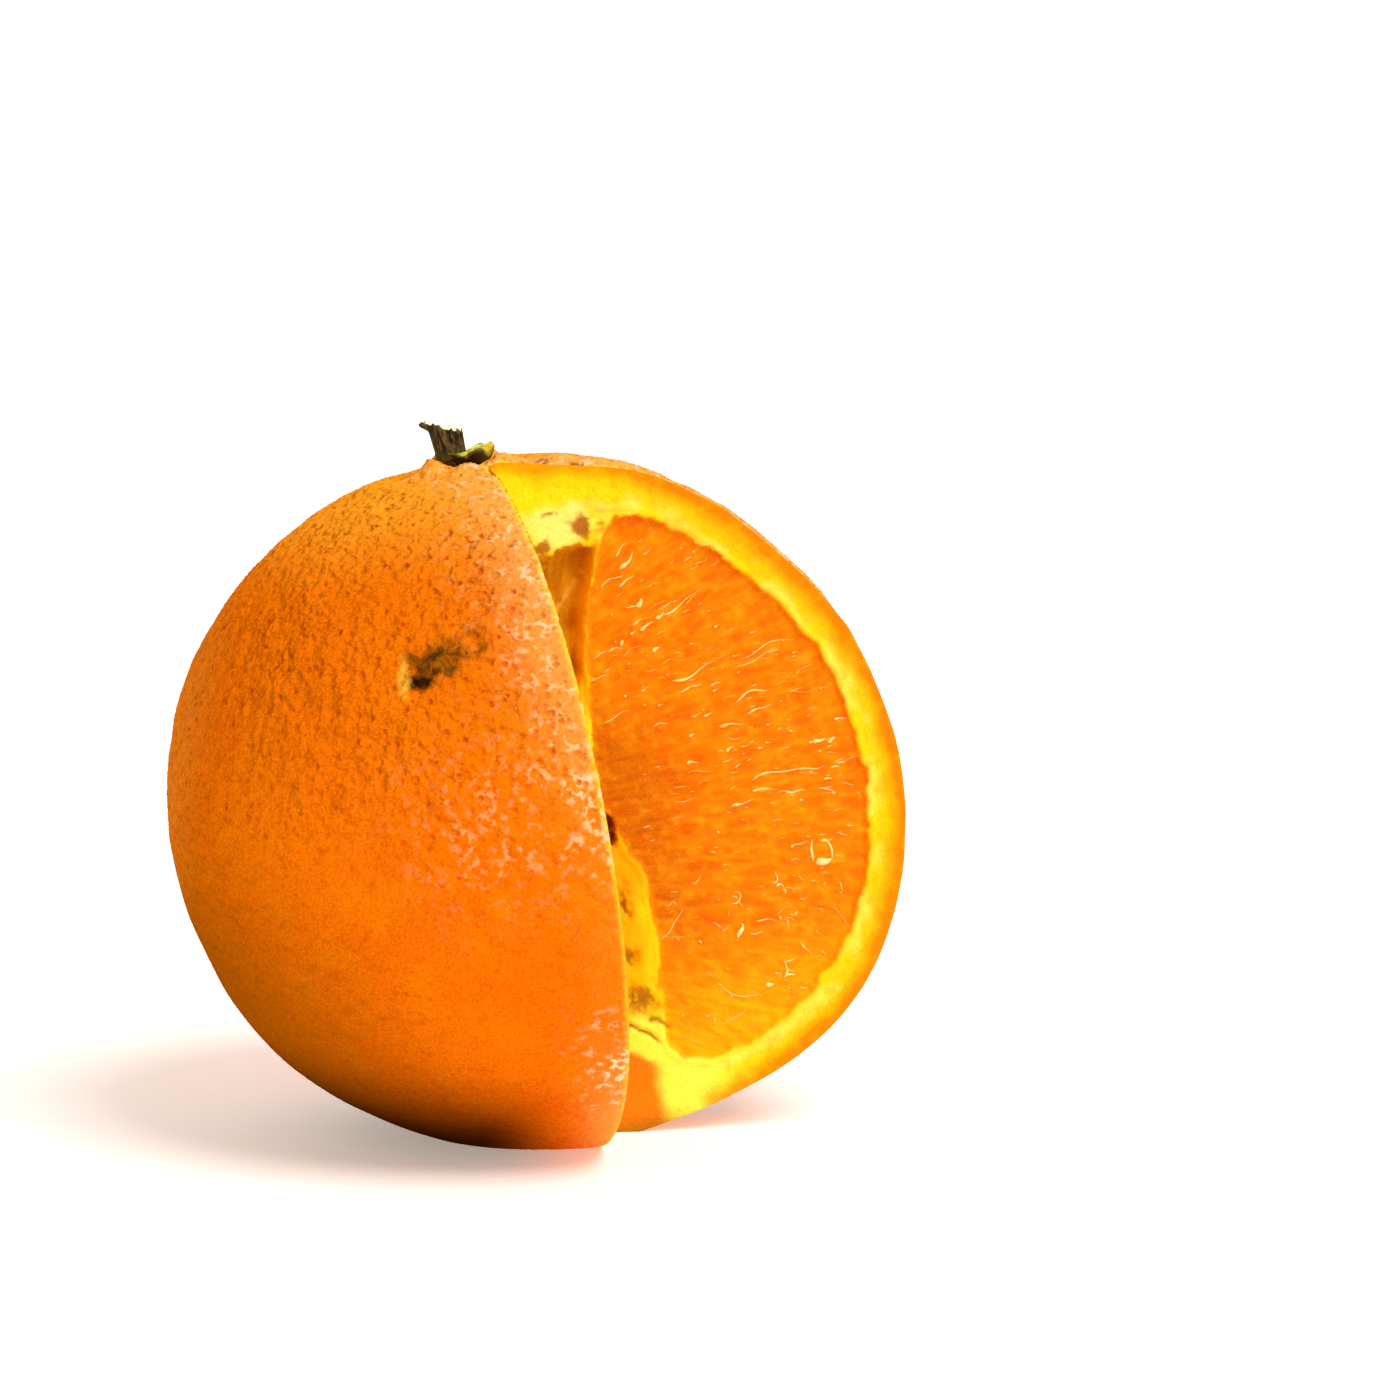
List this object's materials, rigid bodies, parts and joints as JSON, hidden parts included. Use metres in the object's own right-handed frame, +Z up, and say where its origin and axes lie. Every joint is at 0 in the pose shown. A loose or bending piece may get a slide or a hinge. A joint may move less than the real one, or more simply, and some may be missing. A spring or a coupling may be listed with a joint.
{
  "type": "cut orange",
  "caption": "Whole orange standing upright with a wedge cut out, showing peel, pith, hollow core and juicy flesh, with a short stem stub on top.",
  "frame": {"origin": "middle of the small flat spot the fruit rests on", "axes": "+Z up, +X to the right across the open side of the notch, +Y away from the notch's open side"},
  "size_m": [0.0812, 0.0804, 0.0784],
  "materials": {
    "rind": "pebbly citrus rind with a soft waxy sheen; wet orange flesh and yellow pith on the cut faces",
    "calyx": "dry green-yellow leaf tissue, dark below",
    "stem": "rough olive-brown bark with a pale cut top"
  },
  "bodies": {
    "root": {"orange": "rind", "calyx": "calyx", "stem": "stem"}
  },
  "joints": []
}
